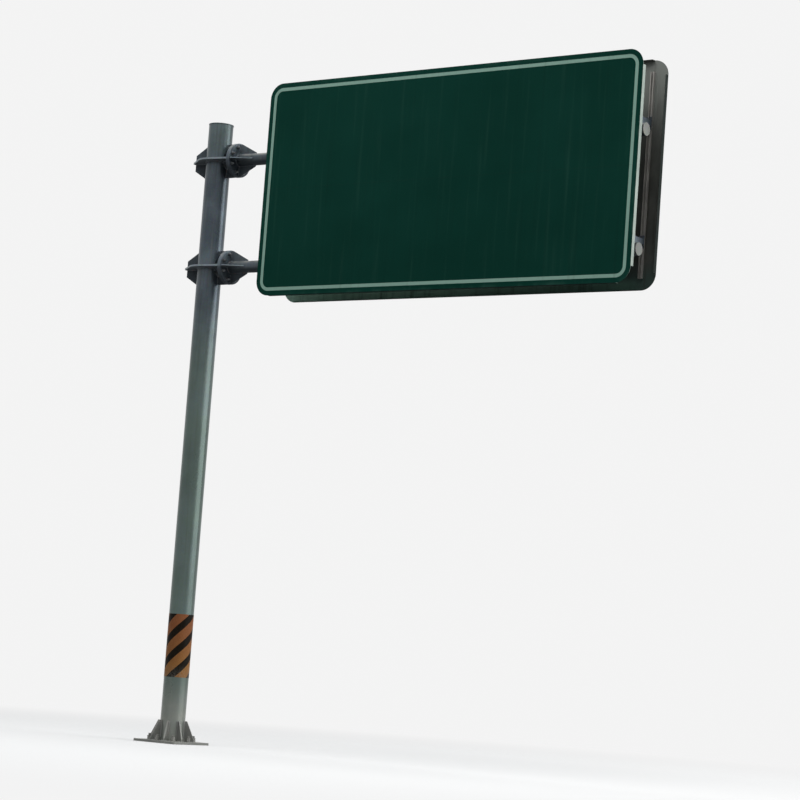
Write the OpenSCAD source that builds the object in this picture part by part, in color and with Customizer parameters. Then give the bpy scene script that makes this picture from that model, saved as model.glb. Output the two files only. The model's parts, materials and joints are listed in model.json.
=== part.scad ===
// Double-arm cantilever sign gantry: a round steel post, two bolted arms and a double-sided sign.
// Millimetres. The origin is the centre of the base plate's underside, +Z is up and the arms run
// along +X. The front panel looks towards -Y and the rear panel towards +Y.

/* [Post] */
// Outer diameter of the post
post_od = 273; // [245:1:325]
// Wall thickness of the post
post_wall = 8; // [6:1:12]
// Height of the post above its foundation, cap included
post_h = 6910; // [6700:10:7400]
// Thickness of the post's cap
post_cap_t = 8; // [6:1:12]
// How far the cap stands out past the post all round
post_cap_lip = 4; // [0:1:8]

/* [Base] */
// Side of the square base plate
base_w = 600; // [560:10:700]
// Thickness of the base plate
base_t = 25; // [20:1:40]
// Corner radius of the base plate
base_corner_r = 30; // [10:5:60]
// Diameter of the circle of anchor bolts
anchor_pcd = 480; // [460:10:500]
// Diameter of an anchor bolt hole
anchor_hole_d = 33; // [27:1:36]
// Number of anchor bolts
anchor_count = 8; // [4:2:12]
// Height of the base gussets
base_gusset_h = 220; // [150:10:300]
// Width of the base gussets, from the post outwards
base_gusset_w = 120; // [100:5:130]
// Thickness of the base gussets
base_gusset_t = 14; // [10:1:20]

/* [Arms] */
// Outer diameter of an arm
arm_od = 133; // [114:1:140]
// Wall thickness of an arm
arm_wall = 6; // [4:1:8]
// Height of the lower arm's axis
lower_arm_z = 5275; // [5150:5:5400]
// Distance between the two arms' axes
arm_spacing = 1210; // [1000:10:1400]
// Distance from the post's axis to the arms' free ends
arm_end_x = 5585; // [5500:5:5640]
// Thickness of an arm's end cap
arm_cap_t = 6; // [4:1:10]

/* [Brackets] */
// Distance from the post's axis to the face where two flanges meet
joint_x = 292; // [280:2:320]
// Diameter of a flange
flange_od = 380; // [350:5:400]
// Thickness of a flange
flange_t = 22; // [16:1:28]
// Diameter of the flange bolt circle
flange_pcd = 300; // [280:2:304]
// Diameter of a flange bolt hole
flange_hole_d = 22; // [18:1:26]
// Number of bolts in a flange
flange_bolts = 8; // [8:8:16]
// Thickness of the flat plate round the post
plate_t = 20; // [12:1:30]
// Radius of the flat plate round the post
plate_r = 230; // [200:5:240]
// Distance from the post's axis to the plate's blunt tip
plate_tip_x = 345; // [325:5:370]
// Width of the plate's blunt tip
plate_tip_w = 50; // [30:5:80]
// Height of the upright gussets above and below the arm's axis
gusset_h = 190; // [170:5:200]
// Thickness of the upright gussets
gusset_t = 16; // [10:1:20]
// Height of a rear gusset's blunt end
gusset_toe_h = 90; // [60:5:110]
// Distance from the plate's tip to a rear gusset's blunt end
gusset_setback = 20; // [5:5:40]
// Distance from the post's axis to the end of the arm's ribs
rib_end_x = 550; // [500:5:600]
// Length over which a rib keeps its full height next to the flange
rib_flat = 25; // [10:1:40]
// Thickness of a rib
rib_t = 10; // [8:1:14]
// Corner cut off each gusset and rib where welds meet
snipe = 20; // [10:1:30]

/* [Sign panels] */
// Width of a panel
sign_w = 4750; // [4600:10:4900]
// Height of a panel
sign_h = 2350; // [2200:10:2500]
// Distance from the post's axis to the panels' near edge
sign_left_x = 900; // [850:10:1000]
// Height of the panels' bottom edge
sign_bottom_z = 4900; // [4800:10:5000]
// Radius of the panels' corners
sign_corner_r = 165; // [100:5:200]
// Thickness of the panels' sheet
sheet_t = 3; // [2:0.5:4]
// Depth of the folded edges
fold_w = 50; // [30:5:60]
// Distance between the two panels' outer faces
faces_apart = 490; // [450:10:560]

/* [Sign frame] */
// Number of upright rails on a panel
rail_count = 6; // [4:1:8]
// Distance from a panel's side edges to the nearest rail's centre
rail_inset = 170; // [150:10:300]
// Distance from a panel's top and bottom edges to the rails' ends
rail_gap_z = 120; // [80:10:250]
// Width of a rail
rail_w = 42; // [38:1:60]
// Depth of a rail
rail_d = 30; // [25:1:40]
// Wall thickness of a rail
rail_wall = 3; // [2:0.5:4]
// Width of the slot along a rail
rail_slot = 20; // [16:1:24]
// Side of the square cross beams
beam_w = 60; // [50:5:80]
// Wall thickness of the cross beams
beam_wall = 4; // [3:1:6]
// Thickness of the plates on the cross beams' ends
end_plate_t = 8; // [6:1:12]
// Height of the plates on the cross beams' ends
end_plate_h = 130; // [100:5:160]
// Length of a saddle across the arm
saddle_l = 104; // [90:2:120]
// Thickness of a saddle above the arm's crown
saddle_t = 14; // [8:1:20]
// Depth to which a saddle reaches down beside the arm's crown
saddle_drop = 24; // [10:1:30]

/* [Hidden] */
$fn = 96;
post_r = post_od / 2;
arm_r = arm_od / 2;
flange_r = flange_od / 2;
upper_arm_z = lower_arm_z + arm_spacing;
flange_back_x = joint_x - flange_t;
rib_start_x = joint_x + flange_t;
rib_h = flange_r - 8;
rib_toe_h = 12;
base_gusset_toe_h = 30;
base_gusset_head_w = 30;
rail_pitch = (sign_w - 2 * rail_inset) / (rail_count - 1);
rail_x = [for (i = [0 : rail_count - 1]) sign_left_x + rail_inset + i * rail_pitch];
rail_face_y = faces_apart / 2 - sheet_t - rail_d;
beam_half_l = rail_face_y - end_plate_t;
beam_bottom = arm_r + saddle_t;
// How far a piece that is cut to a round one runs inside it before the cut
bite = 20;
// How far the outline of a plate cuts into the disc that it runs onto
graze = 2;
steel_grey = [0.42, 0.45, 0.48];
bracket_grey = [0.36, 0.39, 0.42];
alu_grey = [0.62, 0.62, 0.60];
sign_green = [0.02, 0.17, 0.12];

// A cylinder along +X from x0 to x1
module bar_x(r, x0, x1) {
    translate([x0, 0, 0]) rotate([0, 90, 0]) cylinder(r = r, h = x1 - x0);
}

// A flat plate of thickness t drawn as an outline in the XZ plane and centred on Y
module upright_plate(points, t) {
    translate([0, t / 2, 0]) rotate([90, 0, 0]) linear_extrude(height = t) polygon(points);
}

// The space that the post takes up
module post_space() {
    cylinder(r = post_r, h = post_h);
}

// Where a line from p grazes a circle of radius r round the origin, on the side of turn.
// The point lies a little inside the circle, so that line and circle cross.
function grazing_point(p, r, turn) =
    let (a = atan2(p[1], p[0]) + turn * acos(r / norm(p))) (r - graze) * [cos(a), sin(a)];

module base_plate() {
    inner = base_w / 2 - base_corner_r;
    color(bracket_grey) difference() {
        union() {
            translate([-base_w / 2, -inner, 0]) cube([base_w, 2 * inner, base_t]);
            translate([-inner, -base_w / 2, 0]) cube([2 * inner, base_w, base_t]);
            for (sx = [-1, 1], sy = [-1, 1])
                translate([sx * inner, sy * inner, 0]) cylinder(r = base_corner_r, h = base_t);
        }
        for (i = [0 : anchor_count - 1])
            rotate(i * 360 / anchor_count)
                translate([anchor_pcd / 2, 0, -1]) cylinder(d = anchor_hole_d, h = base_t + 2);
    }
}

module base_gussets() {
    reach = post_r + base_gusset_w;
    outline = [[post_r + snipe, base_t], [reach, base_t], [reach, base_t + base_gusset_toe_h],
               [post_r + base_gusset_head_w, base_t + base_gusset_h],
               [post_r - bite, base_t + base_gusset_h], [post_r - bite, base_t + snipe + bite]];
    color(bracket_grey) difference() {
        for (i = [0 : anchor_count - 1])
            rotate((i + 0.5) * 360 / anchor_count) upright_plate(outline, base_gusset_t);
        post_space();
    }
}

module post_tube() {
    color(steel_grey) translate([0, 0, base_t]) difference() {
        cylinder(r = post_r, h = post_h - post_cap_t - base_t);
        translate([0, 0, -1]) cylinder(r = post_r - post_wall, h = post_h);
    }
}

module post_cap() {
    color(steel_grey) translate([0, 0, post_h - post_cap_t])
        cylinder(r = post_r + post_cap_lip, h = post_cap_t);
}

// The boat-shaped plate round the post: a disc drawn out to a blunt tip and to the flange
module ring_plate(z) {
    tip = [-plate_tip_x, plate_tip_w / 2];
    heel = [flange_back_x, flange_r];
    near_tip = grazing_point(tip, plate_r, -1);
    near_heel = grazing_point(heel, plate_r, 1);
    half = [tip, near_tip, near_heel, heel];
    color(bracket_grey) difference() {
        translate([0, 0, z - plate_t / 2]) {
            cylinder(r = plate_r, h = plate_t);
            linear_extrude(height = plate_t)
                polygon(concat(half, [for (i = [3 : -1 : 0]) [half[i][0], -half[i][1]]]));
        }
        post_space();
        translate([0, 0, z]) bar_x(arm_r, 0, joint_x);
    }
}

// Upright gussets in the arm's plane: two behind the post and two between the post and the flange
module gussets(z) {
    toe_x = gusset_setback - plate_tip_x;
    rear = [[toe_x, plate_t / 2], [toe_x, gusset_toe_h], [-post_r - snipe, gusset_h], [-post_r + bite, gusset_h],
            [-post_r + bite, plate_t / 2 + snipe + bite], [-post_r - snipe, plate_t / 2]];
    front = [[post_r + snipe, arm_r - bite], [post_r + snipe, arm_r], [post_r - bite, arm_r + snipe + bite],
             [post_r - bite, gusset_h], [flange_back_x, flange_r],
             [flange_back_x, arm_r + snipe], [flange_back_x - snipe, arm_r],
             [flange_back_x - snipe, arm_r - bite]];
    color(bracket_grey) difference() {
        translate([0, 0, z]) for (side = [0, 1]) mirror([0, 0, side]) {
            upright_plate(rear, gusset_t);
            upright_plate(front, gusset_t);
        }
        post_space();
        translate([0, 0, z]) bar_x(arm_r, 0, joint_x);
    }
}

module stub(z) {
    color(bracket_grey) difference() {
        translate([0, 0, z]) bar_x(arm_r, post_r - bite, joint_x);
        translate([0, 0, z]) bar_x(arm_r - arm_wall, 0, joint_x + 1);
        post_space();
    }
}

// A slip-on flange between x0 and x0 + flange_t, drilled for its bolts
module flange(z, x0) {
    color(bracket_grey) translate([0, 0, z]) difference() {
        bar_x(flange_r, x0, x0 + flange_t);
        bar_x(arm_r, x0 - 1, x0 + flange_t + 1);
        for (i = [0 : flange_bolts - 1])
            rotate([(i + 0.5) * 360 / flange_bolts, 0, 0])
                translate([0, 0, flange_pcd / 2]) bar_x(flange_hole_d / 2, x0 - 1, x0 + flange_t + 1);
    }
}

// A rib in the XZ plane that slopes from the flange face at face_x down to the tube at end_x
module rib(face_x, end_x) {
    away = sign(end_x - face_x);
    upright_plate([[face_x + away * snipe, arm_r - bite], [face_x + away * snipe, arm_r],
                   [face_x, arm_r + snipe], [face_x, rib_h], [face_x + away * rib_flat, rib_h],
                   [end_x, arm_r + rib_toe_h], [end_x, arm_r - bite]], rib_t);
}

// Ribs between the post and its flange, halfway between the flat plate and the upright gussets
module stub_ribs(z) {
    color(bracket_grey) difference() {
        translate([0, 0, z]) for (turn = [45 : 90 : 315])
            rotate([turn, 0, 0]) rib(flange_back_x, post_r - bite);
        post_space();
        translate([0, 0, z]) bar_x(arm_r, 0, joint_x);
    }
}

// Four ribs behind the arm's flange, in line with the gussets and the flat plate
module arm_ribs(z) {
    color(bracket_grey) translate([0, 0, z]) difference() {
        for (turn = [0 : 90 : 270]) rotate([turn, 0, 0]) rib(rib_start_x, rib_end_x);
        bar_x(arm_r, joint_x, rib_end_x + 1);
    }
}

module arm(z) {
    color(steel_grey) translate([0, 0, z]) difference() {
        bar_x(arm_r, joint_x, arm_end_x - arm_cap_t);
        bar_x(arm_r - arm_wall, joint_x - 1, arm_end_x);
    }
}

module arm_cap(z) {
    color(steel_grey) translate([0, 0, z]) bar_x(arm_r, arm_end_x - arm_cap_t, arm_end_x);
}

// Curved seats that carry the cross beams on the arm's crown
module saddles(z) {
    color(bracket_grey) translate([0, 0, z]) difference() {
        for (x = rail_x)
            translate([x - beam_w / 2, -saddle_l / 2, arm_r - saddle_drop])
                cube([beam_w, saddle_l, saddle_drop + saddle_t]);
        bar_x(arm_r, joint_x, arm_end_x);
    }
}

// Square tubes across the arm, with a plate on each end that faces a rail
module cross_beams(z) {
    color(bracket_grey) for (x = rail_x) translate([x, 0, z + beam_bottom]) {
        difference() {
            translate([-beam_w / 2, -beam_half_l, 0]) cube([beam_w, 2 * beam_half_l, beam_w]);
            translate([-beam_w / 2 + beam_wall, -beam_half_l - 1, beam_wall])
                cube([beam_w - 2 * beam_wall, 2 * beam_half_l + 2, beam_w - 2 * beam_wall]);
        }
        for (side = [0, 1]) mirror([0, side, 0])
            translate([-beam_w / 2, beam_half_l, (beam_w - end_plate_h) / 2])
                cube([beam_w, end_plate_t, end_plate_h]);
    }
}

// Outline of a panel in the XZ plane, with its near bottom corner at the origin
module panel_outline() {
    r = sign_corner_r;
    translate([r, 0]) square([sign_w - 2 * r, sign_h]);
    translate([0, r]) square([sign_w, sign_h - 2 * r]);
    for (x = [r, sign_w - r], z = [r, sign_h - r]) translate([x, z]) circle(r = r);
}

// A panel that looks towards -Y: a flat sheet whose four straight edges are folded back
module panel() {
    r = sign_corner_r;
    color(sign_green) translate([sign_left_x, -faces_apart / 2, sign_bottom_z]) {
        translate([0, sheet_t, 0]) rotate([90, 0, 0]) linear_extrude(height = sheet_t) panel_outline();
        for (x = [0, sign_w - sheet_t])
            translate([x, 0, r]) cube([sheet_t, fold_w, sign_h - 2 * r]);
        for (z = [0, sign_h - sheet_t])
            translate([r, 0, z]) cube([sign_w - 2 * r, fold_w, sheet_t]);
    }
}

// Section of a rail in the XY plane: a channel with lips, its back on the sheet
module rail_section() {
    difference() {
        translate([-rail_w / 2, 0]) square([rail_w, rail_d]);
        translate([-rail_w / 2 + rail_wall, rail_wall])
            square([rail_w - 2 * rail_wall, rail_d - 2 * rail_wall]);
        translate([-rail_slot / 2, rail_wall]) square([rail_slot, rail_d]);
    }
}

// The upright rails on the back of the panel that looks towards -Y
module rails() {
    color(alu_grey) for (x = rail_x)
        translate([x, -faces_apart / 2 + sheet_t, sign_bottom_z + rail_gap_z])
            linear_extrude(height = sign_h - 2 * rail_gap_z) rail_section();
}

module upper_ring_plate() { ring_plate(upper_arm_z); }
module upper_gussets() { gussets(upper_arm_z); }
module upper_stub() { stub(upper_arm_z); }
module upper_stub_ribs() { stub_ribs(upper_arm_z); }
module upper_post_flange() { flange(upper_arm_z, flange_back_x); }
module upper_arm_flange() { flange(upper_arm_z, joint_x); }
module upper_arm_ribs() { arm_ribs(upper_arm_z); }
module upper_arm() { arm(upper_arm_z); }
module upper_arm_cap() { arm_cap(upper_arm_z); }
module lower_ring_plate() { ring_plate(lower_arm_z); }
module lower_gussets() { gussets(lower_arm_z); }
module lower_stub() { stub(lower_arm_z); }
module lower_stub_ribs() { stub_ribs(lower_arm_z); }
module lower_post_flange() { flange(lower_arm_z, flange_back_x); }
module lower_arm_flange() { flange(lower_arm_z, joint_x); }
module lower_arm_ribs() { arm_ribs(lower_arm_z); }
module lower_arm() { arm(lower_arm_z); }
module lower_arm_cap() { arm_cap(lower_arm_z); }
module upper_saddles() { saddles(upper_arm_z); }
module upper_cross_beams() { cross_beams(upper_arm_z); }
module lower_saddles() { saddles(lower_arm_z); }
module lower_cross_beams() { cross_beams(lower_arm_z); }
module front_panel() { panel(); }
module front_rails() { rails(); }
module rear_panel() { mirror([0, 1, 0]) panel(); }
module rear_rails() { mirror([0, 1, 0]) rails(); }

base_plate();
base_gussets();
post_tube();
post_cap();
upper_ring_plate();
upper_gussets();
upper_stub();
upper_stub_ribs();
upper_post_flange();
upper_arm_flange();
upper_arm_ribs();
upper_arm();
upper_arm_cap();
lower_ring_plate();
lower_gussets();
lower_stub();
lower_stub_ribs();
lower_post_flange();
lower_arm_flange();
lower_arm_ribs();
lower_arm();
lower_arm_cap();
upper_saddles();
upper_cross_beams();
lower_saddles();
lower_cross_beams();
front_panel();
front_rails();
rear_panel();
rear_rails();
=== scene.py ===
# Looks of a double-arm cantilever sign gantry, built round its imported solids. Metres, +Z up.
# The post stands on the origin, the arms run along +X and the front panel looks towards -Y.
import json
import math
import random

import bpy
from mathutils import Matrix, Vector, noise


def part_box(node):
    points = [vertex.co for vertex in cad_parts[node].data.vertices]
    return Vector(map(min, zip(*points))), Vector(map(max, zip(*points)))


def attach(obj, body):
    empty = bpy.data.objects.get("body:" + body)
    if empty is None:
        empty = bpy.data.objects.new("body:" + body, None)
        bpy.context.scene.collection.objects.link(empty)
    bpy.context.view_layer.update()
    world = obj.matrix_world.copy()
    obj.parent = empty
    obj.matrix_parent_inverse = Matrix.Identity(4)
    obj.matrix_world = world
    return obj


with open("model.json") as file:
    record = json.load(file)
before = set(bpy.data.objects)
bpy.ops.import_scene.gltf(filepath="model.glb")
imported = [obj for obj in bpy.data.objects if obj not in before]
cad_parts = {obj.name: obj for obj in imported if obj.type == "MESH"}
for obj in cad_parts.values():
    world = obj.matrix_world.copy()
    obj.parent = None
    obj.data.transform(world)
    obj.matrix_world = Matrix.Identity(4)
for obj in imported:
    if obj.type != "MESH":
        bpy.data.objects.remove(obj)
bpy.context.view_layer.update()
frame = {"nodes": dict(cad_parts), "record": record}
rng = random.Random(7)
X, Y, Z = Vector((1, 0, 0)), Vector((0, 1, 0)), Vector((0, 0, 1))
LEVELS = ("upper", "lower")

# Sizes read from the frame
PLATE_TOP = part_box("base_plate")[1].z
BASE_GUSSET_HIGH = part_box("base_gussets")[1]
POST_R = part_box("post_tube")[1].x
CAP_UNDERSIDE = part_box("post_cap")[0].z
ARM_LOW, ARM_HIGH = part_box("upper_arm")
ARM_R = (ARM_HIGH.z - ARM_LOW.z) / 2
ARM_Z = {level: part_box(level + "_arm")[0].z + ARM_R for level in LEVELS}
ARM_CAP_X = ARM_HIGH.x
JOINT_X = ARM_LOW.x
FLANGE_LOW, FLANGE_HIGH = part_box("upper_post_flange")
FLANGE_T = FLANGE_HIGH.x - FLANGE_LOW.x
FLANGE_R = (FLANGE_HIGH.z - FLANGE_LOW.z) / 2
RING_LOW, RING_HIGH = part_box("upper_ring_plate")
RING_T = RING_HIGH.z - RING_LOW.z
GUSSET_LOW, GUSSET_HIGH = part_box("upper_gussets")
GUSSET_H = GUSSET_HIGH.z - ARM_Z["upper"]
RIB_END_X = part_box("upper_arm_ribs")[1].x
PANEL_LOW, PANEL_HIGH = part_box("front_panel")
PANEL_MID_Z = (PANEL_LOW.z + PANEL_HIGH.z) / 2
FACE_Y = -PANEL_LOW.y
RAIL_LOW, RAIL_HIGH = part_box("front_rails")
BEAM_BOX = {level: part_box(level + "_cross_beams") for level in LEVELS}
BEAM_MID = {level: (low.z + high.z) / 2 for level, (low, high) in BEAM_BOX.items()}
BEAM_END_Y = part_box("upper_cross_beams")[1].y
ANCHOR_CIRCLE_R = frame["record"]["mounts"][1]["dims"]["pcd_mm"] / 2000
ANCHOR_COUNT = frame["record"]["mounts"][1]["dims"]["count"]

# Sizes of the part that no box gives
BASE_GUSSET_T = 0.014
GUSSET_T = 0.016
RIB_T = 0.010
RIB_H = FLANGE_R - 0.008
SNIPE = 0.020
BOLT_CIRCLE_R = 0.150
FLANGE_BOLTS = 8
BEAM_W = 0.060
END_PLATE_T = 0.008
SIGN_CORNER_R = 0.165
RAIL_W = 0.042
RAIL_COUNT = 6
RAIL_PITCH = (RAIL_HIGH.x - RAIL_LOW.x - RAIL_W) / (RAIL_COUNT - 1)
RAIL_X = [RAIL_LOW.x + RAIL_W / 2 + i * RAIL_PITCH for i in range(RAIL_COUNT)]


# Shader nodes

class Shader:
    """A material whose nodes are written as short calls. Positions are in the frame's own metres."""

    def __init__(self, name, metallic=0.0, specular=0.5):
        self.material = bpy.data.materials.new(name)
        self.material.use_nodes = True
        self.tree = self.material.node_tree
        self.surface = self.tree.nodes["Principled BSDF"]
        self.surface.inputs["Metallic"].default_value = metallic
        self.surface.inputs["Specular IOR Level"].default_value = specular
        self.place = self.node("ShaderNodeTexCoord").outputs["Object"]
        split = self.node("ShaderNodeSeparateXYZ", Vector=self.place)
        self.x, self.y, self.z = split.outputs

    def node(self, kind, settings=None, **inputs):
        made = self.tree.nodes.new(kind)
        for key, value in (settings or {}).items():
            setattr(made, key, value)
        for key, value in inputs.items():
            self.feed(made.inputs[key.replace("_", " ")], value)
        return made

    def feed(self, socket, value):
        """Gives a socket its value: a number, a colour or another node's output."""
        if isinstance(value, bpy.types.NodeSocket):
            self.tree.links.new(value, socket)
        else:
            socket.default_value = value

    def math(self, operation, *values):
        made = self.tree.nodes.new("ShaderNodeMath")
        made.operation = operation
        for socket, value in zip(made.inputs, values):
            self.feed(socket, value)
        return made.outputs[0]

    def times(self, first, second):
        return self.math("MULTIPLY", first, second)

    def scaled(self, value, factor, offset):
        """The value times the factor, plus the offset."""
        return self.math("MULTIPLY_ADD", value, factor, offset)

    def step(self, value, low, high):
        """0 below low and 1 above high, smooth in between; low may be the larger of the two."""
        made = self.node("ShaderNodeMapRange", {"interpolation_type": "SMOOTHSTEP"},
                         Value=value, From_Min=low, From_Max=high)
        return made.outputs["Result"]

    def band(self, value, low, high, soft):
        """1 between low and high and 0 outside, with both edges soft."""
        rise = self.step(value, low - soft, low + soft)
        return self.times(rise, self.step(value, high + soft, high - soft))

    def noise(self, scale, detail, stretch=(1, 1, 1), roughness=0.5):
        place = self.node("ShaderNodeVectorMath", {"operation": "MULTIPLY"})
        self.feed(place.inputs[0], self.place)
        self.feed(place.inputs[1], stretch)
        made = self.node("ShaderNodeTexNoise", Vector=place.outputs[0], Scale=scale, Detail=detail,
                         Roughness=roughness)
        return made.outputs["Fac"]

    def flakes(self, scale):
        """Cells, each of a random colour."""
        return self.node("ShaderNodeTexVoronoi", Vector=self.place, Scale=scale).outputs["Color"]

    def cell_lines(self, scale):
        """Thin lines between cells, as in reflective sheeting."""
        made = self.node("ShaderNodeTexVoronoi", {"feature": "DISTANCE_TO_EDGE"}, Vector=self.place,
                         Scale=scale)
        return self.step(made.outputs["Distance"], 0.10, 0.04)

    def blend(self, share, first, second, kind="MIX"):
        """The first colour where share is 0 and the second where it is 1."""
        made = self.tree.nodes.new("ShaderNodeMix")
        made.data_type = "RGBA"
        made.blend_type = kind
        self.feed(made.inputs[0], share)
        self.feed(made.inputs[6], first)
        self.feed(made.inputs[7], second)
        return made.outputs[2]

    def upward(self):
        """How far a surface looks up: 1 level and on top, 0 upright, -1 underneath."""
        normal = self.node("ShaderNodeNewGeometry").outputs["Normal"]
        return self.node("ShaderNodeSeparateXYZ", Vector=normal).outputs["Z"]

    def finish(self, colour, roughness, bumps):
        """Wires up the surface. Each bump is a height and how many metres a height of 1 stands for."""
        self.feed(self.surface.inputs["Base Color"], colour)
        self.feed(self.surface.inputs["Roughness"], roughness)
        normal = None
        for height, distance in bumps:
            made = self.node("ShaderNodeBump", Height=height, Distance=distance)
            if normal is not None:
                self.feed(made.inputs["Normal"], normal)
            normal = made.outputs["Normal"]
        self.feed(self.surface.inputs["Normal"], normal)
        return self.material


def srgb(red, green, blue):
    """A colour given as it shows on screen, from 0 to 255, in the shader's linear values."""
    linear = [v / 255 / 12.92 if v < 11 else ((v / 255 + 0.055) / 1.055) ** 2.4 for v in (red, green, blue)]
    return (*linear, 1.0)


# Steel

# Pale dust; on upward steel faces it is also painted top light
DUST_AND_TOP_LIGHT = srgb(142, 141, 134)
GRIME = srgb(38, 37, 35)
RUST = srgb(104, 62, 38)
# Painted shade for the undersides and round the brackets' plates
PAINTED_SHADE = srgb(26, 33, 38)
ALGAE = srgb(88, 105, 90)


def muddied(s, colour):
    """Pale dust and splashes that thin out upwards from the ground."""
    mud = s.times(s.step(s.z, 0.85, 0.20), s.scaled(s.noise(8, 4), 0.5, 0.25))
    return s.blend(mud, colour, DUST_AND_TOP_LIGHT)


def streaked(s, colour):
    """Dark and pale runs that rain has left."""
    dark = s.step(s.noise(1.0, 4, (34, 34, 1.3)), 0.50, 0.72)
    colour = s.blend(s.times(dark, 0.30), colour, GRIME)
    pale = s.step(s.noise(1.0, 3, (22, 22, 0.8)), 0.56, 0.80)
    return s.blend(s.times(pale, 0.20), colour, DUST_AND_TOP_LIGHT)


def stained(s, colour, stains):
    """Dark runs below each (top, length) that fade out downwards."""
    for top, length in stains:
        below = s.band(s.z, top - length, top, 0.004)
        fade = s.step(s.z, top - length, top)
        run = s.step(s.noise(1.0, 2, (46, 46, 0.9)), 0.42, 0.66)
        colour = s.blend(s.times(s.times(below, fade), s.times(run, 0.25)), colour, GRIME)
    return colour


def greened(s, colour):
    """Thin algae on the post: most on its lower part, and a little above the upper arm."""
    lower_part = s.step(s.z, 5.1, 3.9)
    head = s.times(s.step(s.z, 6.45, 6.65), 0.4)
    patchy = s.scaled(s.noise(3.5, 4), 0.4, 0.25)
    return s.blend(s.times(s.math("MAXIMUM", lower_part, head), patchy), colour, ALGAE)


def painted_shade_bands(below, above):
    """Heights under and over the flat plates of both brackets, each with its mean share of painted shade.
    """
    bands = []
    for mid in ARM_Z.values():
        bands.append((mid - FLANGE_R - 0.03, mid - RING_T / 2 - 0.001, below))
        bands.append((mid + RING_T / 2 + 0.001, mid + FLANGE_R + 0.03, above))
    return bands


def painted_shade_share(s, bands):
    """How much painted shade there is: all over undersides, and in uneven patches within the bands."""
    share = s.step(s.upward(), -0.05, -0.65)
    for low, high, mean in bands:
        uneven = s.scaled(s.noise(13, 4), 0.5, mean - 0.25)
        share = s.math("MAXIMUM", share, s.times(s.band(s.z, low, high, 0.012), uneven))
    return share


def steel(name, light, dark, metallic, roughness, stains=(), shade_bands=(), rust=0.0, algae=False, mud=False):
    """Weathered galvanised steel: cloudy zinc with flakes and streaks, pale dust on top that is also
    painted top light, painted shade on undersides and round the plates, and rust.
    """
    s = Shader(name, specular=0.25)
    clouds = s.noise(2.3, 4)
    colour = s.blend(s.step(clouds, 0.35, 0.65), dark, light)
    colour = s.blend(0.10, colour, s.flakes(70), "OVERLAY")
    colour = stained(s, streaked(s, colour), stains)
    if algae:
        colour = greened(s, colour)
    if mud:
        colour = muddied(s, colour)
    # Pale dust on upward faces, strong enough to be painted light on the tops as well
    dust = s.times(s.step(s.upward(), 0.35, 0.9), s.step(s.noise(9, 4), 0.25, 0.75))
    colour = s.blend(s.times(dust, 0.62), colour, DUST_AND_TOP_LIGHT)
    # Painted shade: undersides and the bands round the plates turn dark, and the same mask makes them less
    # metallic and rougher
    dull = painted_shade_share(s, shade_bands)
    colour = s.blend(s.times(dull, 0.78), colour, PAINTED_SHADE)
    if rust:
        spots = s.times(s.step(s.noise(26, 6, roughness=0.65), 0.62, 0.72), rust)
        colour = s.blend(spots, colour, RUST)
    s.feed(s.surface.inputs["Metallic"], s.scaled(dull, -metallic, metallic))
    gloss = s.scaled(clouds, 0.16, roughness - 0.08)
    gloss = s.scaled(dull, 0.75 - roughness, gloss)
    return s.finish(colour, gloss, [(s.noise(380, 2), 0.0002), (s.noise(30, 3), 0.0004)])


# The sign's sheet

BORDER_START, BORDER_END = 0.052, 0.088
PALE_GREEN = srgb(96, 132, 118)


def beyond(s, value, low, high):
    """How far a coordinate lies beyond the straight part of one of the sign's edges."""
    off_middle = s.math("ABSOLUTE", s.math("SUBTRACT", value, (low + high) / 2))
    return s.math("SUBTRACT", off_middle, (high - low) / 2 - SIGN_CORNER_R)


def sign_inset(s):
    """How far a point lies inside the sign's outline with its round corners."""
    over_x = beyond(s, s.x, PANEL_LOW.x, PANEL_HIGH.x)
    over_z = beyond(s, s.z, PANEL_LOW.z, PANEL_HIGH.z)
    out_x, out_z = s.math("MAXIMUM", over_x, 0.0), s.math("MAXIMUM", over_z, 0.0)
    reach = s.math("SQRT", s.math("ADD", s.times(out_x, out_x), s.times(out_z, out_z)))
    inner = s.math("MINIMUM", s.math("MAXIMUM", over_x, over_z), 0.0)
    return s.math("SUBTRACT", SIGN_CORNER_R, s.math("ADD", reach, inner))


def sign_face(s, inset, fade, cell_lines, joint):
    """Green sheeting with a pale border line, a joint at mid height, streaks, grime and splashes."""
    face = s.blend(s.step(fade, 0.3, 0.7), srgb(2, 42, 34), srgb(5, 47, 39))
    face = s.blend(s.times(cell_lines, 0.30), face, srgb(10, 60, 50))
    face = s.blend(s.band(inset, BORDER_START, BORDER_END, 0.0008), face, srgb(122, 152, 140))
    streaks = s.step(s.noise(1.0, 4, (16, 16, 0.7)), 0.52, 0.78)
    face = s.blend(s.times(streaks, 0.04), face, PALE_GREEN)
    grime = s.step(s.noise(1.0, 3, (30, 30, 0.5)), 0.55, 0.8)
    face = s.blend(s.times(grime, 0.16), face, srgb(6, 28, 23))
    splash = s.times(s.step(inset, 0.05, 0.0), s.step(s.noise(7, 4), 0.45, 0.7))
    face = s.blend(s.times(splash, 0.08), face, PALE_GREEN)
    return s.blend(s.times(joint, 0.5), face, srgb(5, 26, 21))


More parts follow.
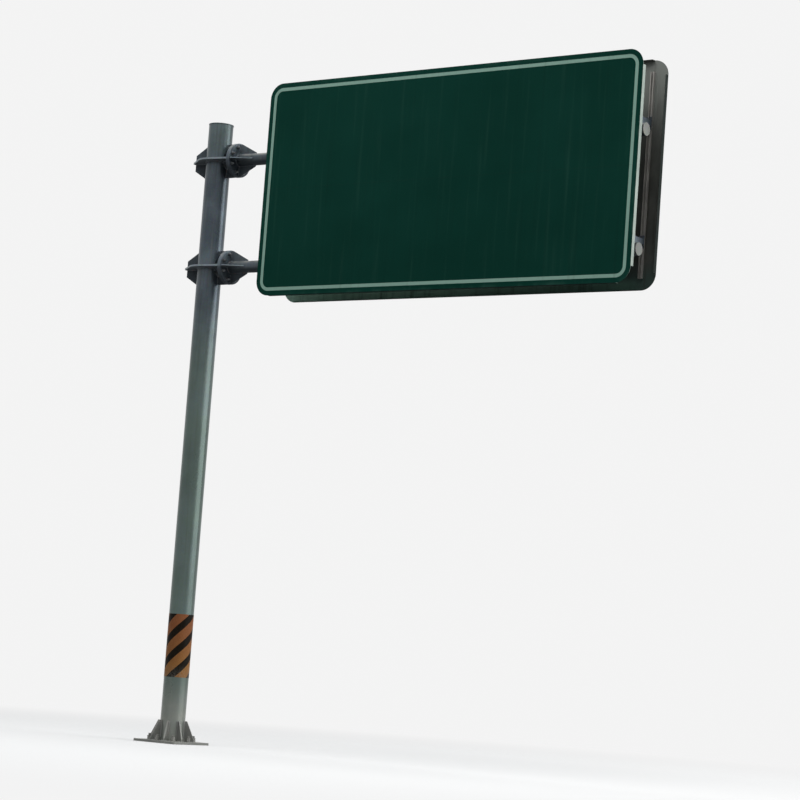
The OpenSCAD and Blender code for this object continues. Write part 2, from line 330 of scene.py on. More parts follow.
def sign_inside(s, clouds):
    """Bare sheet, darker than the fold as painted shade between the panels, with dark runs; painted light
    makes it paler at the top, and paler and greenish along the bottom, most so towards the post.
    """
    # Painted shade: the inside is a darker copy of the bare fold
    inside = s.blend(s.step(clouds, 0.3, 0.7), srgb(64, 66, 63), srgb(80, 82, 78))
    # Painted light: paler towards the open top
    inside = s.blend(s.step(s.z, PANEL_MID_Z, PANEL_HIGH.z), inside, srgb(112, 115, 111))
    # Painted light: the lowest part is paler and greener towards the post
    to_post = s.step(s.x, PANEL_HIGH.x - 0.4, PANEL_LOW.x)
    lit_low_part = s.blend(to_post, srgb(62, 76, 72), srgb(116, 138, 128))
    inside = s.blend(s.step(s.z, PANEL_LOW.z + 0.35, PANEL_LOW.z + 0.08), inside, lit_low_part)
    # Painted bounce light: a pale green band along the bottom, palest towards the post and fading near the
    # free end
    to_post = s.step(s.x, PANEL_HIGH.x - 0.2, PANEL_LOW.x + 1.0)
    painted_bounce_green = s.blend(to_post, srgb(86, 114, 103), srgb(142, 176, 160))
    painted_bounce = s.times(s.step(s.z, PANEL_LOW.z + 0.16, PANEL_LOW.z + 0.06),
                   s.step(s.x, PANEL_HIGH.x - 0.10, PANEL_HIGH.x - 0.35))
    inside = s.blend(painted_bounce, inside, painted_bounce_green)
    runs = s.step(s.noise(1.0, 4, (18, 18, 1.1)), 0.48, 0.74)
    return s.blend(s.times(runs, 0.45), inside, srgb(52, 46, 40))


def sign_fold(s, clouds, underneath):
    """The folded edge: bare on the front panel, dark on the rear one, with painted shade underneath both.
    """
    fold = s.blend(s.step(clouds, 0.3, 0.7), srgb(128, 138, 132), srgb(150, 160, 153))
    # Painted shade on the fold's downward faces
    fold = s.blend(underneath, fold, srgb(5, 16, 12))
    on_rear = s.step(s.y, -0.01, 0.01)
    return s.blend(on_rear, fold, srgb(5, 18, 15))


def sign_sheet():
    """The panels' sheet, which looks different on its face, along its fold and inside."""
    s = Shader("sign_sheet", specular=0.03)
    inset = sign_inset(s)
    fade = s.noise(0.9, 3)
    clouds = s.noise(3.1, 4)
    cell_lines = s.cell_lines(290)
    joint = s.band(s.z, PANEL_MID_Z - 0.0008, PANEL_MID_Z + 0.0008, 0.0004)
    # Downward faces: painted shade on the fold, and a rougher finish
    underneath = s.step(s.upward(), -0.4, -0.8)
    # The fold is the outermost millimetre of the outline, and the face is the sheet's outer side
    on_fold = s.step(inset, 0.0014, 0.0010)
    on_face = s.step(s.math("ABSOLUTE", s.y), FACE_Y - 0.0008, FACE_Y - 0.0004)
    colour = s.blend(on_fold, sign_inside(s, clouds), sign_fold(s, clouds, underneath))
    colour = s.blend(on_face, colour, sign_face(s, inset, fade, cell_lines, joint))
    gloss = s.math("MAXIMUM", s.scaled(fade, 0.20, 0.32), underneath)
    ripple = s.noise(1.6, 1)
    return s.finish(colour, gloss, [(ripple, 0.02), (cell_lines, 0.00005), (joint, 0.0006)])


# Other materials

FILM_LOW, FILM_HIGH = 0.720, 1.410
FILM_TURNS = 3.5
FILM_PITCH = 0.2374
FILM_PHASE = 0.959
FILM_BLACK_START, FILM_BLACK_END = 0.565, 0.99
FILM_SEAM = math.radians(180)


def hazard_film():
    """Warning film: orange and black stripes that climb round the post and do not meet at the seam."""
    s = Shader("hazard_film", specular=0.06)
    turn = s.math("DIVIDE", s.math("ARCTAN2", s.y, s.x), 2 * math.pi)
    rise = s.math("SUBTRACT", s.math("DIVIDE", s.z, FILM_PITCH), s.times(turn, FILM_TURNS))
    phase = s.math("FRACT", s.math("ADD", rise, FILM_PHASE))
    is_black = s.band(phase, FILM_BLACK_START, FILM_BLACK_END, 0.006)
    height = s.step(s.z, FILM_LOW, FILM_HIGH)
    orange = s.blend(height, srgb(123, 86, 46), srgb(113, 67, 43))
    worn = s.step(s.noise(5, 4), 0.35, 0.7)
    orange = s.blend(s.times(worn, 0.35), orange, srgb(96, 54, 34))
    cell_lines = s.cell_lines(230)
    orange = s.blend(s.times(cell_lines, 0.3), orange, srgb(158, 114, 72))
    black = s.blend(s.step(s.noise(70, 5, roughness=0.7), 0.5, 0.7), srgb(12, 8, 3), srgb(32, 25, 15))
    colour = s.blend(is_black, orange, black)
    scuffs = s.step(s.noise(1.0, 6, (20, 20, 60), roughness=0.7), 0.60, 0.72)
    colour = s.blend(s.times(scuffs, 0.40), colour, srgb(82, 80, 72))
    splash = s.times(s.step(s.z, FILM_LOW + 0.16, FILM_LOW), s.step(s.noise(60, 5), 0.35, 0.7))
    colour = s.blend(s.times(splash, 0.22), colour, DUST_AND_TOP_LIGHT)
    return s.finish(colour, s.scaled(s.noise(12, 3), 0.25, 0.36),
                    [(s.noise(22, 3), 0.0010), (cell_lines, 0.00006)])


def rail_aluminium():
    """Extruded aluminium gone dull and brownish, with fine lines along the extrusion."""
    s = Shader("rail_aluminium", metallic=0.35, specular=0.35)
    lines = s.noise(1.0, 2, (420, 420, 0.6))
    colour = s.blend(s.step(s.noise(4, 4), 0.35, 0.65), srgb(136, 134, 130), srgb(158, 156, 151))
    colour = s.blend(s.times(lines, 0.25), colour, srgb(176, 174, 170))
    runs = s.step(s.noise(1.0, 4, (30, 30, 1.4)), 0.5, 0.74)
    colour = s.blend(s.times(runs, 0.4), colour, srgb(82, 74, 66))
    return s.finish(colour, s.scaled(lines, 0.2, 0.42), [(lines, 0.0003)])


def fastener_zinc():
    """Hot-dip galvanised bolts and nuts, with a little rust where the zinc has gone."""
    s = Shader("galvanised_fastener", metallic=0.75, specular=0.5)
    colour = s.blend(s.step(s.noise(60, 4), 0.35, 0.7), srgb(66, 70, 72), srgb(104, 108, 110))
    colour = s.blend(0.15, colour, s.flakes(420), "OVERLAY")
    spots = s.step(s.noise(95, 5, roughness=0.7), 0.55, 0.68)
    colour = muddied(s, s.blend(s.times(spots, 0.5), colour, RUST))
    return s.finish(colour, s.scaled(s.noise(45, 3), 0.3, 0.34), [(s.noise(700, 2), 0.0003)])


def weld_metal():
    """Weld beads under zinc: greyer and rougher than the plates, with rusty patches."""
    s = Shader("weld_metal", metallic=0.3, specular=0.35)
    colour = s.blend(s.step(s.noise(48, 4), 0.35, 0.7), srgb(56, 62, 67), srgb(82, 89, 95))
    patches = s.step(s.noise(17, 4), 0.56, 0.7)
    colour = muddied(s, s.blend(s.times(patches, 0.45), colour, RUST))
    return s.finish(colour, s.scaled(s.noise(30, 3), 0.2, 0.50), [(s.noise(900, 2), 0.0004)])


BRACKET_ZINC = (srgb(92, 102, 110), srgb(68, 77, 85))
STAINS = [(ARM_Z[level] - RING_T / 2, 0.9) for level in LEVELS]
MATERIALS = {
    "post": steel("post_steel", srgb(80, 90, 97), srgb(62, 71, 78), metallic=0.45, roughness=0.30,
                  stains=STAINS, algae=True, mud=True),
    "arm": steel("arm_steel", srgb(70, 79, 85), srgb(50, 58, 63), metallic=0.40, roughness=0.36),
    "cap": steel("cap_steel", srgb(86, 89, 85), srgb(72, 75, 71), metallic=0.40, roughness=0.40),
    # A paler copy of the brackets' zinc, as painted light on the plates' edges and the arm ribs; the ribs
    # still take painted shade above and below the plates
    "plate": steel("lit_plate_steel", srgb(122, 132, 139), srgb(100, 110, 117), metallic=0.35, roughness=0.40,
                   shade_bands=painted_shade_bands(below=1.0, above=0.9), rust=0.25),
    "bracket": steel("bracket_steel", *BRACKET_ZINC, metallic=0.35, roughness=0.44,
                     shade_bands=painted_shade_bands(below=0.8, above=0.1), rust=0.35),
    # The brackets' zinc with more painted shade above and below the plates
    "gusset": steel("shaded_gusset_steel", *BRACKET_ZINC, metallic=0.35, roughness=0.44,
                    shade_bands=painted_shade_bands(below=1.0, above=0.9), rust=0.35),
    "base": steel("base_steel", srgb(86, 92, 94), srgb(64, 70, 72), metallic=0.30, roughness=0.50,
                  rust=0.45, mud=True),
    "sign": sign_sheet(),
    "rail": rail_aluminium(),
    "zinc": fastener_zinc(),
    "weld": weld_metal(),
    "film": hazard_film(),
}
# Where two endings fit a name, the later one counts
ENDINGS = {"_gussets": "gusset", "base_gussets": "base", "base_plate": "base", "post_tube": "post",
           "post_cap": "post", "_arm": "arm", "_arm_cap": "cap", "_ring_plate": "plate",
           "_arm_ribs": "plate", "_panel": "sign", "_rails": "rail"}


def dress_nodes():
    """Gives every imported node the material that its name's ending calls for, or the brackets' own."""
    for name, node in frame["nodes"].items():
        chosen = "bracket"
        for ending, key in ENDINGS.items():
            if name.endswith(ending):
                chosen = key
        for slot in node.material_slots:
            slot.material = MATERIALS[chosen]


# Mesh making

class Solid:
    """Vertices and faces of one piece, gathered from several simple forms."""

    def __init__(self):
        self.points = []
        self.faces = []

    def add(self, points, faces, place=Matrix()):
        first = len(self.points)
        self.points += [place @ Vector(p) for p in points]
        self.faces += [[first + i for i in face] for face in faces]

    def make(self, name, material, crease=32):
        mesh = bpy.data.meshes.new(name)
        mesh.from_pydata([tuple(p) for p in self.points], [], self.faces)
        mesh.validate()
        mesh.polygons.foreach_set("use_smooth", [True] * len(mesh.polygons))
        mesh.set_sharp_from_angle(angle=math.radians(crease))
        mesh.materials.append(MATERIALS[material])
        piece = bpy.data.objects.new(name, mesh)
        bpy.context.scene.collection.objects.link(piece)
        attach(piece, "root")
        return piece


def skin(rows, sides):
    """Faces of a closed form whose points come in rows that each run once round it."""
    faces = []
    for row in range(rows - 1):
        a, b = row * sides, (row + 1) * sides
        for i in range(sides):
            j = (i + 1) % sides
            faces.append((a + i, a + j, b + j, b + i))
    faces.append(tuple(reversed(range(sides))))
    last = (rows - 1) * sides
    faces.append(tuple(last + i for i in range(sides)))
    return faces


def turned(profile, sides, flats=0.0):
    """A form turned round Z from (radius, height) pairs. With flats it is cut to a hexagon that wide."""
    points = []
    for radius, height in profile:
        for i in range(sides):
            angle = 2 * math.pi * i / sides
            r = radius
            if flats:
                off = (angle + math.pi / 6) % (math.pi / 3) - math.pi / 6
                r = min(radius, flats / 2 / math.cos(off))
            points.append((r * math.cos(angle), r * math.sin(angle), height))
    return points, skin(len(profile), sides)


def swept(path, radius, sides):
    """A round rod along a path of points that lies in a plane across X."""
    points = []
    for i, p in enumerate(path):
        ahead = path[min(i + 1, len(path) - 1)] - path[max(i - 1, 0)]
        other = ahead.normalized().cross(X).normalized()
        for k in range(sides):
            angle = 2 * math.pi * k / sides
            points.append(p + radius * (math.cos(angle) * X + math.sin(angle) * other))
    return points, skin(len(path), sides)


def facing(origin, direction):
    """A placement whose Z looks along direction."""
    return Matrix.Translation(origin) @ direction.to_track_quat("Z", "Y").to_matrix().to_4x4()


# Fasteners

WASHER_SIDES = 32
NUT_SIDES = 36


def hexagon(flats, low, high, chamfer_high=True):
    """Profile of a nut, or of a bolt head that has a chamfer at its low end only."""
    corner = flats / math.sqrt(3)
    flat_r = flats * 0.475
    mid_r = (flat_r + corner) / 2
    drop = (corner - flat_r) * math.tan(math.radians(30))
    start = [(flat_r, low), (mid_r, low + drop / 2), (corner, low + drop)]
    end = [(corner, high - drop), (mid_r, high - drop / 2), (flat_r, high)]
    return start + (end if chamfer_high else [(corner, high)])


def random_turn():
    return Matrix.Rotation(rng.uniform(0, math.pi / 3), 4, "Z")


class Bolt:
    """One size of bolt. Its parts stand on a placement's Z, and their heights are measured along it."""

    def __init__(self, radius, pitch, sides, flats, nut_h, washer_r, washer_t):
        self.radius, self.pitch, self.sides = radius, pitch, sides
        self.flats, self.nut_h = flats, nut_h
        self.washer_r, self.washer_t = washer_r, washer_t

    def add_washer(self, solid, place, low):
        """Adds a washer and gives the height of its upper side."""
        high = low + self.washer_t
        edge = self.washer_t * 0.2
        flat_r = self.washer_r - edge
        profile = [(flat_r, low), (self.washer_r, low + edge), (self.washer_r, high - edge), (flat_r, high)]
        solid.add(*turned(profile, WASHER_SIDES), place=place)
        return high

    def add_head(self, solid, place, low, high):
        profile = hexagon(self.flats, low, high, chamfer_high=False)
        solid.add(*turned(profile, NUT_SIDES, self.flats), place=place @ random_turn())

    def add_nut(self, solid, place, low, height=None):
        """Adds a nut, of its usual height unless one is given, and gives the height of its upper side."""
        high = low + (height or self.nut_h)
        profile = hexagon(self.flats, low, high)
        solid.add(*turned(profile, NUT_SIDES, self.flats), place=place @ random_turn())
        return high

    def add_thread(self, solid, place, low, high):
        """Adds a threaded rod with a chamfered tip."""
        depth = self.pitch * 0.5
        root_r = self.radius - depth
        profile = [(self.radius, low)]
        for i in range(int((high - low - depth) / self.pitch)):
            base = low + i * self.pitch
            profile.append((self.radius, base + self.pitch * 0.15))
            profile.append((root_r, base + self.pitch * 0.5))
            profile.append((self.radius, base + self.pitch * 0.85))
        profile += [(self.radius, high - depth), (self.radius - depth * 1.4, high)]
        solid.add(*turned(profile, self.sides), place=place)


FLANGE_BOLT = Bolt(radius=0.010, pitch=0.0025, sides=20, flats=0.030, nut_h=0.018,
                   washer_r=0.0185, washer_t=0.003)
ANCHOR_BOLT = Bolt(radius=0.015, pitch=0.0035, sides=28, flats=0.046, nut_h=0.024,
                   washer_r=0.030, washer_t=0.005)
CLAMP_ROD = Bolt(radius=0.007, pitch=0.002, sides=16, flats=0.022, nut_h=0.012,
                 washer_r=0.014, washer_t=0.0025)
RAIL_BOLT = Bolt(radius=0.006, pitch=0.00175, sides=14, flats=0.018, nut_h=0.0105,
                 washer_r=0.012, washer_t=0.0025)
FLANGE_HEAD_H = 0.0125
LOCK_NUT_H = 0.014
LOCK_NUT_GAP = 0.001
CLAMP_BEND_R = ARM_R + CLAMP_ROD.radius + 0.0005
CLAMP_BEND_STEPS = 32
RAIL_BOLT_RISE = 0.047
HAMMER_HEAD = ((0.0095, 0.012), (0.011, 0.0105), (0.011, 0.0035), (0.0105, 0.003))
HAMMER_STRETCH = Matrix.Diagonal((1.5, 0.85, 1.0, 1.0))
RIVET_DOME = ((0.0050, -0.0004), (0.0048, 0.0003), (0.0038, 0.0008), (0.0020, 0.0011), (0.0004, 0.0012))
RIVETS_PER_RAIL = 15
RIVET_ZIGZAG = 0.010
RIVET_MARGIN = 0.04


def flange_bolts(level):
    """Eight M20 bolts: head and washer towards the post, washer, nut and thread end towards the arm."""
    solid = Solid()
    for k in range(FLANGE_BOLTS):
        angle = (k + 0.5) * 2 * math.pi / FLANGE_BOLTS
        centre = Vector((JOINT_X, BOLT_CIRCLE_R * math.sin(angle),
                         ARM_Z[level] + BOLT_CIRCLE_R * math.cos(angle)))
        place = facing(centre, X)
        washer_low = -FLANGE_T - FLANGE_BOLT.washer_t
        FLANGE_BOLT.add_washer(solid, place, washer_low)
        FLANGE_BOLT.add_head(solid, place, washer_low - FLANGE_HEAD_H, washer_low)
        washer_high = FLANGE_BOLT.add_washer(solid, place, FLANGE_T)
        FLANGE_BOLT.add_nut(solid, place, washer_high)
        tip = FLANGE_T + 0.035 + rng.uniform(0, 0.003)
        FLANGE_BOLT.add_thread(solid, place, -FLANGE_T, tip)
    return solid.make(level + "_flange_bolts", "zinc")


def anchor_nuts():
    """M30 anchor bolt ends in the base plate: washer, nut, thin lock nut and thread end."""
    solid = Solid()
    for k in range(ANCHOR_COUNT):
        angle = 2 * math.pi * k / ANCHOR_COUNT
        place = Matrix.Translation((ANCHOR_CIRCLE_R * math.cos(angle), ANCHOR_CIRCLE_R * math.sin(angle),
                                    PLATE_TOP))
        washer_high = ANCHOR_BOLT.add_washer(solid, place, 0.0)
        nut_high = ANCHOR_BOLT.add_nut(solid, place, washer_high)
        ANCHOR_BOLT.add_nut(solid, place, nut_high + LOCK_NUT_GAP, LOCK_NUT_H)
        tip = 0.062 + rng.uniform(0, 0.008)
        ANCHOR_BOLT.add_thread(solid, place, -PLATE_TOP + 0.002, tip)
    return solid.make("anchor_nuts", "zinc")


def arm_clamps(level):
    """U-bolts that hold each cross beam on its saddle, with washers and nuts on top of the beam."""
    solid = Solid()
    beam_top = BEAM_MID[level] + BEAM_W / 2
    for x in RAIL_X:
        centre = Vector((x, 0, ARM_Z[level]))
        path = [Vector((x, CLAMP_BEND_R, beam_top))]
        for i in range(CLAMP_BEND_STEPS + 1):
            angle = math.pi * i / CLAMP_BEND_STEPS
            path.append(centre + CLAMP_BEND_R * (math.cos(angle) * Y - math.sin(angle) * Z))
        path.append(Vector((x, -CLAMP_BEND_R, beam_top)))
        solid.add(*swept(path, CLAMP_ROD.radius, sides=14))
        for side in (-1, 1):
            place = Matrix.Translation((x, side * CLAMP_BEND_R, beam_top))
            washer_high = CLAMP_ROD.add_washer(solid, place, 0.0)
            CLAMP_ROD.add_nut(solid, place, washer_high)
            tip = 0.026 + rng.uniform(0, 0.004)
            CLAMP_ROD.add_thread(solid, place, 0.0, tip)
    return solid.make(level + "_arm_clamps", "zinc")


def rail_bolts(level):
    """Bolts with hammer heads in the rails' slots and nuts that pull on the cross beams' end plates."""
    solid = Solid()
    plate_back = BEAM_END_Y - END_PLATE_T
    head = [(radius, -END_PLATE_T - depth) for radius, depth in HAMMER_HEAD]
    for x in RAIL_X:
        for side in (-1, 1):
            for rise in (-RAIL_BOLT_RISE, RAIL_BOLT_RISE):
                place = facing(Vector((x, side * plate_back, BEAM_MID[level] + rise)), -side * Y)
                washer_high = RAIL_BOLT.add_washer(solid, place, 0.0)
                RAIL_BOLT.add_nut(solid, place, washer_high)
                tip = 0.021 + rng.uniform(0, 0.003)
                RAIL_BOLT.add_thread(solid, place, -END_PLATE_T - 0.004, tip)
                solid.add(*turned(head, sides=24), place=place @ HAMMER_STRETCH)
    return solid.make(level + "_rail_bolts", "zinc")


def rivets(panel, side):
    """Low rivet heads in a zigzag along each rail, under the sheeting's own colour."""
    solid = Solid()
    low, high = RAIL_LOW.z + RIVET_MARGIN, RAIL_HIGH.z - RIVET_MARGIN
    for x in RAIL_X:
        for i in range(RIVETS_PER_RAIL):
            z = low + (high - low) * i / (RIVETS_PER_RAIL - 1)
            across = RIVET_ZIGZAG if i % 2 else -RIVET_ZIGZAG
            place = facing(Vector((x + across, side * FACE_Y, z)), side * Y)
            solid.add(*turned(RIVET_DOME, sides=14), place=place)
    return solid.make(panel + "_rivets", "sign", crease=60)


# Weld beads. A station is a point on the root line and the two directions that the fillet's legs take.

BEAD_STEP = 0.004
BEAD_SUNK = 0.0006
BEAD_CROWN = 0.60
BEAD_END = 0.55
EDGE_GAP = 0.003
FOOT_BEAD = 0.009
PLATE_BEAD = 0.008
RIB_BEAD = 0.007
CAP_BEAD = 0.0038
ARM_CAP_BEAD = 0.0024


def straight(start, end, leg_a, leg_b):
    """Stations along a straight line."""
    count = max(3, round((end - start).length / BEAD_STEP))
    return [(start.lerp(end, i / count), leg_a, leg_b) for i in range(count + 1)]


def ring(centre, u, v, radius, first, last, leg):
    """Stations round a circle in the plane of u and v, between two angles in degrees."""
    count = max(3, round(math.radians(last - first) * radius / BEAD_STEP))
    made = []
    for i in range(count + 1):
        angle = math.radians(first + (last - first) * i / count)
        outward = math.cos(angle) * u + math.sin(angle) * v
        made.append((centre + radius * outward, outward, leg))
    return made


def saddle(z, first, last):
    """Stations along the line where the stub meets the post, between two angles round the stub."""
    count = max(3, round(math.radians(last - first) * ARM_R / BEAD_STEP))
    made = []
    for i in range(count + 1):
        angle = math.radians(first + (last - first) * i / count)
        outward = math.cos(angle) * Z + math.sin(angle) * Y
        y = ARM_R * outward.y
        x = math.sqrt(POST_R ** 2 - y ** 2)
        normal = Vector((x, y, 0)) / POST_R
        along_post = (outward - normal * outward.dot(normal)).normalized()
        made.append((Vector((x, y, z + ARM_R * outward.z)), X, along_post))
    return made


def add_bead(solid, stations, size):
    """A fillet with four points at each station, uneven along its length and small at both ends."""
    points = []
    for i, (p, a, b) in enumerate(stations):
        wobble = 1 + 0.10 * math.sin(i * 2.2) + 0.07 * noise.noise(p * 60)
        at_end = i in (0, len(stations) - 1)
        leg = size * wobble * (BEAD_END if at_end else 1)
        points += [p - (a + b) * BEAD_SUNK, p + a * leg - b * BEAD_SUNK,
                   p + (a + b) * leg * BEAD_CROWN, p - a * BEAD_SUNK + b * leg]
    solid.add(points, skin(len(stations), 4))


def rib_beads(solid, z, angle, thick, face_x, end_x, height):
    """Both sides of a rib at an angle from upright round the arm: up the flange face and along the tube."""
    up = math.sin(angle) * Y + math.cos(angle) * Z
    away = math.copysign(1, end_x - face_x) * X
    axis = Vector((0, 0, z))
    for side in (-1, 1):
        across = side * X.cross(up)
        root = axis + across * thick / 2
        flange, tube = root + face_x * X, root + up * (ARM_R - 0.0005)
        upward = straight(flange + up * (ARM_R + SNIPE), flange + up * (height - 0.004), across, away)
        add_bead(solid, upward, RIB_BEAD)
        along = straight(tube + face_x * X + away * SNIPE, tube + end_x * X, across, up)
        add_bead(solid, along, RIB_BEAD)


def plate_beads(solid, z, side):
    """On one side of a flat plate: round the post, at its gussets, along the stub and at the flange."""
    face = Vector((0, 0, z + side * RING_T / 2))
    # Degrees round the post that the stub and the rear gusset take up to each side of the X axis
    at_stub = math.degrees(math.asin(ARM_R / POST_R)) + 1.5
    at_gusset = math.degrees(math.asin(GUSSET_T / 2 / POST_R)) + 7
    stub_half_width = ARM_R * 0.989
    for first, last in ((at_stub, 180 - at_gusset), (180 + at_gusset, 360 - at_stub)):
        add_bead(solid, ring(face, X, Y, POST_R, first, last, side * Z), PLATE_BEAD)
    for across in (-1, 1):
        outward = across * Y
        gusset_side = Vector((0, across * GUSSET_T / 2, 0))
        rear = gusset_side + face
        add_bead(solid, straight(rear - X * (POST_R + SNIPE), rear + X * GUSSET_LOW.x, outward, side * Z),
                 PLATE_BEAD)
        for direction, low in ((-1, RING_T / 2 + SNIPE), (1, ARM_R + SNIPE)):
            foot = gusset_side + Vector((0, 0, z)) + direction * (POST_R - 0.0003) * X
            add_bead(solid, straight(foot + side * low * Z, foot + side * (GUSSET_H - EDGE_GAP) * Z,
                                     outward, direction * X), PLATE_BEAD)
        edge = Vector((0, across * stub_half_width, 0)) + face
        add_bead(solid, straight(edge + X * (POST_R - 0.012), edge + X * FLANGE_LOW.x, outward, side * Z),
                 RIB_BEAD)
        corner = Vector((FLANGE_LOW.x, 0, 0)) + face
        add_bead(solid, straight(corner + outward * (ARM_R + 0.008),
                                 corner + outward * (FLANGE_R - EDGE_GAP), -X, side * Z), RIB_BEAD)


def bracket_welds(level):
    """Beads on a bracket's plate, gussets and ribs, at both flanges and where the stub meets the post."""
    solid = Solid()
    z = ARM_Z[level]
    flange_back, flange_front = FLANGE_LOW.x, JOINT_X + FLANGE_T
    for side in (-1, 1):
        plate_beads(solid, z, side)
        upright = 0 if side > 0 else math.pi
        rib_beads(solid, z, upright, GUSSET_T, flange_back, POST_R + SNIPE, FLANGE_R)
    # Degrees round the tube that a rib takes up to each side of its middle
    gap = math.degrees(RIB_T / 2 / ARM_R) + 1
    back, front = Vector((flange_back, 0, z)), Vector((flange_front, 0, z))
    for turn in range(0, 360, 90):
        rib_beads(solid, z, math.radians(45 + turn), RIB_T, flange_back, POST_R + 0.004, RIB_H)
        rib_beads(solid, z, math.radians(turn), RIB_T, flange_front, RIB_END_X, RIB_H)
        add_bead(solid, ring(front, Z, Y, ARM_R, turn + gap, turn + 90 - gap, X), RIB_BEAD)
    for turn in range(0, 360, 45):
        add_bead(solid, ring(back, Z, Y, ARM_R, turn + gap + 2, turn + 43 - gap, -X), RIB_BEAD)
        add_bead(solid, saddle(z, turn + gap + 3, turn + 42 - gap), PLATE_BEAD)
    return solid.make(level + "_welds", "weld", crease=50)


def base_welds():
    """Beads round the post's foot, at the base gussets and at the caps of the post and the arms."""
    solid = Solid()
    foot = Vector((0, 0, PLATE_TOP))
    reach = BASE_GUSSET_HIGH.x / math.cos(math.pi / ANCHOR_COUNT)
    gusset_h = BASE_GUSSET_HIGH.z - PLATE_TOP
    # Degrees round the post from one gusset to the next, and that a gusset takes up to each side
    step = 360 / ANCHOR_COUNT
    gap = math.degrees(math.asin(BASE_GUSSET_T / 2 / POST_R)) + 6
    for k in range(ANCHOR_COUNT):
        middle = (k + 0.5) * step
        add_bead(solid, ring(foot, X, Y, POST_R, middle - step + gap, middle - gap, Z), FOOT_BEAD)
        angle = math.radians(middle)
        outward = math.cos(angle) * X + math.sin(angle) * Y
        for side in (-1, 1):
            across = side * Z.cross(outward)
            root = foot + across * BASE_GUSSET_T / 2
            add_bead(solid, straight(root + outward * (POST_R + SNIPE), root + outward * (reach - 0.012),
                                     across, Z), PLATE_BEAD)
            upright = root + outward * (POST_R - 0.0002)
            add_bead(solid, straight(upright + Z * SNIPE, upright + Z * (gusset_h - EDGE_GAP),
                                     across, outward), PLATE_BEAD)
    add_bead(solid, ring(Vector((0, 0, CAP_UNDERSIDE)), X, Y, POST_R, 0, 360, -Z), CAP_BEAD)
    for level in LEVELS:
        centre = Vector((ARM_CAP_X, 0, ARM_Z[level]))
        add_bead(solid, ring(centre, Z, Y, ARM_R - 0.0012, 0, 360, -X), ARM_CAP_BEAD)
    return solid.make("post_and_cap_welds", "weld", crease=50)


# Warning film

FILM_T = 0.0005
FILM_LAP_LIFT = 0.0007
FILM_LAP_STEPS = 3
FILM_SLACK = 0.00025
FILM_SUNK = 0.0004
FILM_ROWS, FILM_AROUND = 36, 144


def film_point(row, i, is_outside):
    """A point i steps round from the seam. The film's ends are uneven and its lap lifts a little."""
    angle = FILM_SEAM + 2 * math.pi * i / FILM_AROUND
    share = row / FILM_ROWS
    z = FILM_LOW + (FILM_HIGH - FILM_LOW) * share
    edge = max(0.0, share - 0.97) + max(0.0, 0.03 - share)
    z += 0.02 * edge * noise.noise(Vector((math.cos(angle) * 3, math.sin(angle) * 3, share)))
    lift = FILM_LAP_LIFT * max(0.0, 1 - i / FILM_LAP_STEPS)
    lift += FILM_SLACK * (1 + noise.noise(Vector((angle * 3, z * 9, 0))))
    r = POST_R + (FILM_T + lift if is_outside else -FILM_SUNK)
    return r * math.cos(angle), r * math.sin(angle), z


def film_sleeve():
    """The warning film: a thin sleeve round the post, lapped on the side away from the arms."""
    points = [film_point(row, i, is_outside) for is_outside in (True, False)
              for row in range(FILM_ROWS + 1) for i in range(FILM_AROUND)]
    faces = []
    inside = (FILM_ROWS + 1) * FILM_AROUND
    top = FILM_ROWS * FILM_AROUND
    for a in range(0, top, FILM_AROUND):
        b = a + FILM_AROUND
        for i in range(FILM_AROUND):
            j = (i + 1) % FILM_AROUND
            faces.append((a + i, a + j, b + j, b + i))
            faces.append((inside + b + i, inside + b + j, inside + a + j, inside + a + i))
    for i in range(FILM_AROUND):
        j = (i + 1) % FILM_AROUND
        faces.append((j, i, inside + i, inside + j))
        faces.append((top + i, top + j, inside + top + j, inside + top + i))
    solid = Solid()
    solid.add(points, faces)
    return solid.make("hazard_band", "film", crease=50)


# Camera, floor and light

CAMERA_PLACE = Vector((18.83, -21.55, 0.91))
CAMERA_TARGET = Vector((2.78, 0, 3.78))
CAMERA_ROLL = math.radians(4.2)
CAMERA_LENS = 116.0
PALE = (0.90, 0.90, 0.90)
FLOOR_SEEN = (0.50, 0.50, 0.50)
FLOOR_BOUNCE = (0.10, 0.10, 0.10)
FLOOR_HALF, FLOOR_Z = 900, -0.001
FLOOR_FADE_START, FLOOR_FADE_END = 3.0, 14.0
FILL = (0.97, 0.99, 1.0)
FILL_AT_HORIZON, FILL_OVERHEAD = 0.40, 1.25
LIGHT_AIM = Vector((2.5, 0, 4))


def photo_camera():
    """Stands where the photograph was taken, turned to the gantry and tilted as the photograph is."""
    camera = bpy.data.objects.new("photo_camera", bpy.data.cameras.new("photo_camera"))
    bpy.context.scene.collection.objects.link(camera)
    camera.data.lens = CAMERA_LENS
    camera.data.clip_end = 2000
    aim = (CAMERA_TARGET - CAMERA_PLACE).to_track_quat("-Z", "Y").to_matrix().to_4x4()
    camera.matrix_world = Matrix.Translation(CAMERA_PLACE) @ aim @ Matrix.Rotation(CAMERA_ROLL, 4, "Z")
    bpy.context.scene.camera = camera


def seen_ray(tree):
    """1 for rays that show the background: from the camera, from gloss and through glass."""
    path = tree.nodes.new("ShaderNodeLightPath")
    seen = path.outputs["Is Camera Ray"]
    for ray in ("Is Glossy Ray", "Is Transmission Ray"):
        either = tree.nodes.new("ShaderNodeMath")
        either.operation = "MAXIMUM"
        tree.links.new(seen, either.inputs[0])
        tree.links.new(path.outputs[ray], either.inputs[1])
        seen = either.outputs[0]
    return seen


def coloured(tree, kind, colour):
    made = tree.nodes.new(kind)
    made.inputs["Color"].default_value = (*colour, 1)
    return made


def mixed(tree, share, first, second):
    made = tree.nodes.new("ShaderNodeMixShader")
    for socket, source in zip(made.inputs, (share, first, second)):
        tree.links.new(source, socket)
    return made.outputs[0]


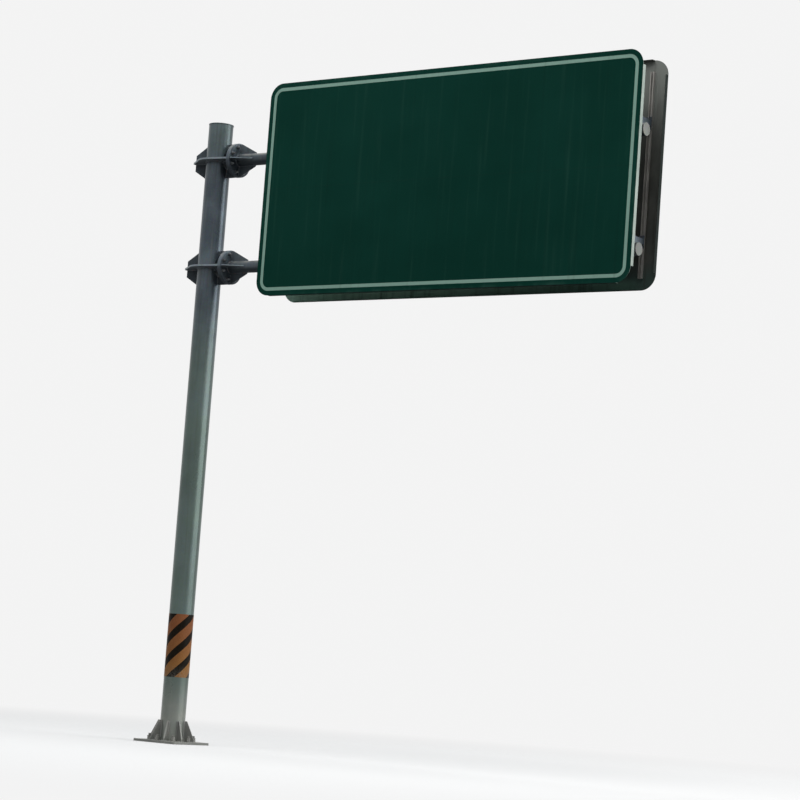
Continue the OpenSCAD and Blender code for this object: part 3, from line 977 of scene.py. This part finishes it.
def floor():
    """A pale floor that fades into the backdrop's colour away from the post."""
    mesh = bpy.data.meshes.new("floor")
    corners = [(FLOOR_HALF * x, FLOOR_HALF * y, FLOOR_Z) for x, y in ((-1, -1), (1, -1), (1, 1), (-1, 1))]
    mesh.from_pydata(corners, [], [(0, 1, 2, 3)])
    piece = bpy.data.objects.new("floor", mesh)
    bpy.context.scene.collection.objects.link(piece)
    material = bpy.data.materials.new("floor")
    material.use_nodes = True
    tree = material.node_tree
    tree.nodes.clear()
    place = tree.nodes.new("ShaderNodeTexCoord")
    distance = tree.nodes.new("ShaderNodeVectorMath")
    distance.operation = "LENGTH"
    tree.links.new(place.outputs["Object"], distance.inputs[0])
    far = tree.nodes.new("ShaderNodeMapRange")
    far.interpolation_type = "SMOOTHSTEP"
    far.inputs["From Min"].default_value = FLOOR_FADE_START
    far.inputs["From Max"].default_value = FLOOR_FADE_END
    tree.links.new(distance.outputs["Value"], far.inputs["Value"])
    near = coloured(tree, "ShaderNodeBsdfDiffuse", FLOOR_SEEN).outputs[0]
    glow = coloured(tree, "ShaderNodeEmission", PALE).outputs[0]
    bounce = coloured(tree, "ShaderNodeBsdfDiffuse", FLOOR_BOUNCE).outputs[0]
    fade = mixed(tree, far.outputs["Result"], near, glow)
    out = tree.nodes.new("ShaderNodeOutputMaterial")
    tree.links.new(mixed(tree, seen_ray(tree), bounce, fade), out.inputs["Surface"])
    mesh.materials.append(material)


def backdrop_and_fill():
    """A world that lights the gantry more from overhead and shows one pale colour where it is seen."""
    world = bpy.data.worlds.new("studio")
    bpy.context.scene.world = world
    world.use_nodes = True
    tree = world.node_tree
    tree.nodes.clear()
    height = tree.nodes.new("ShaderNodeSeparateXYZ")
    tree.links.new(tree.nodes.new("ShaderNodeTexCoord").outputs["Generated"], height.inputs[0])
    strength = tree.nodes.new("ShaderNodeMapRange")
    strength.inputs["To Min"].default_value = FILL_AT_HORIZON
    strength.inputs["To Max"].default_value = FILL_OVERHEAD
    tree.links.new(height.outputs["Z"], strength.inputs["Value"])
    fill = coloured(tree, "ShaderNodeBackground", FILL)
    tree.links.new(strength.outputs["Result"], fill.inputs["Strength"])
    behind = coloured(tree, "ShaderNodeBackground", PALE)
    out = tree.nodes.new("ShaderNodeOutputWorld")
    tree.links.new(mixed(tree, seen_ray(tree), fill.outputs[0], behind.outputs[0]), out.inputs["Surface"])


def softbox(name, place, width, height, power):
    lamp = bpy.data.lights.new(name, "AREA")
    lamp.shape = "RECTANGLE"
    lamp.size, lamp.size_y = width, height
    lamp.energy = power
    holder = bpy.data.objects.new(name, lamp)
    bpy.context.scene.collection.objects.link(holder)
    holder.matrix_world = facing(Vector(place), Vector(place) - LIGHT_AIM)
    holder.visible_camera = False


dress_nodes()
rivets("front", -1)
rivets("rear", 1)
for level in LEVELS:
    flange_bolts(level)
    arm_clamps(level)
    rail_bolts(level)
    bracket_welds(level)
anchor_nuts()
base_welds()
film_sleeve()
photo_camera()
floor()
backdrop_and_fill()
bpy.context.scene.view_settings.view_transform = "Standard"
softbox("key", (19, 8, 9), width=20, height=15, power=3600)
softbox("top", (3, -3, 18), width=16, height=16, power=3000)
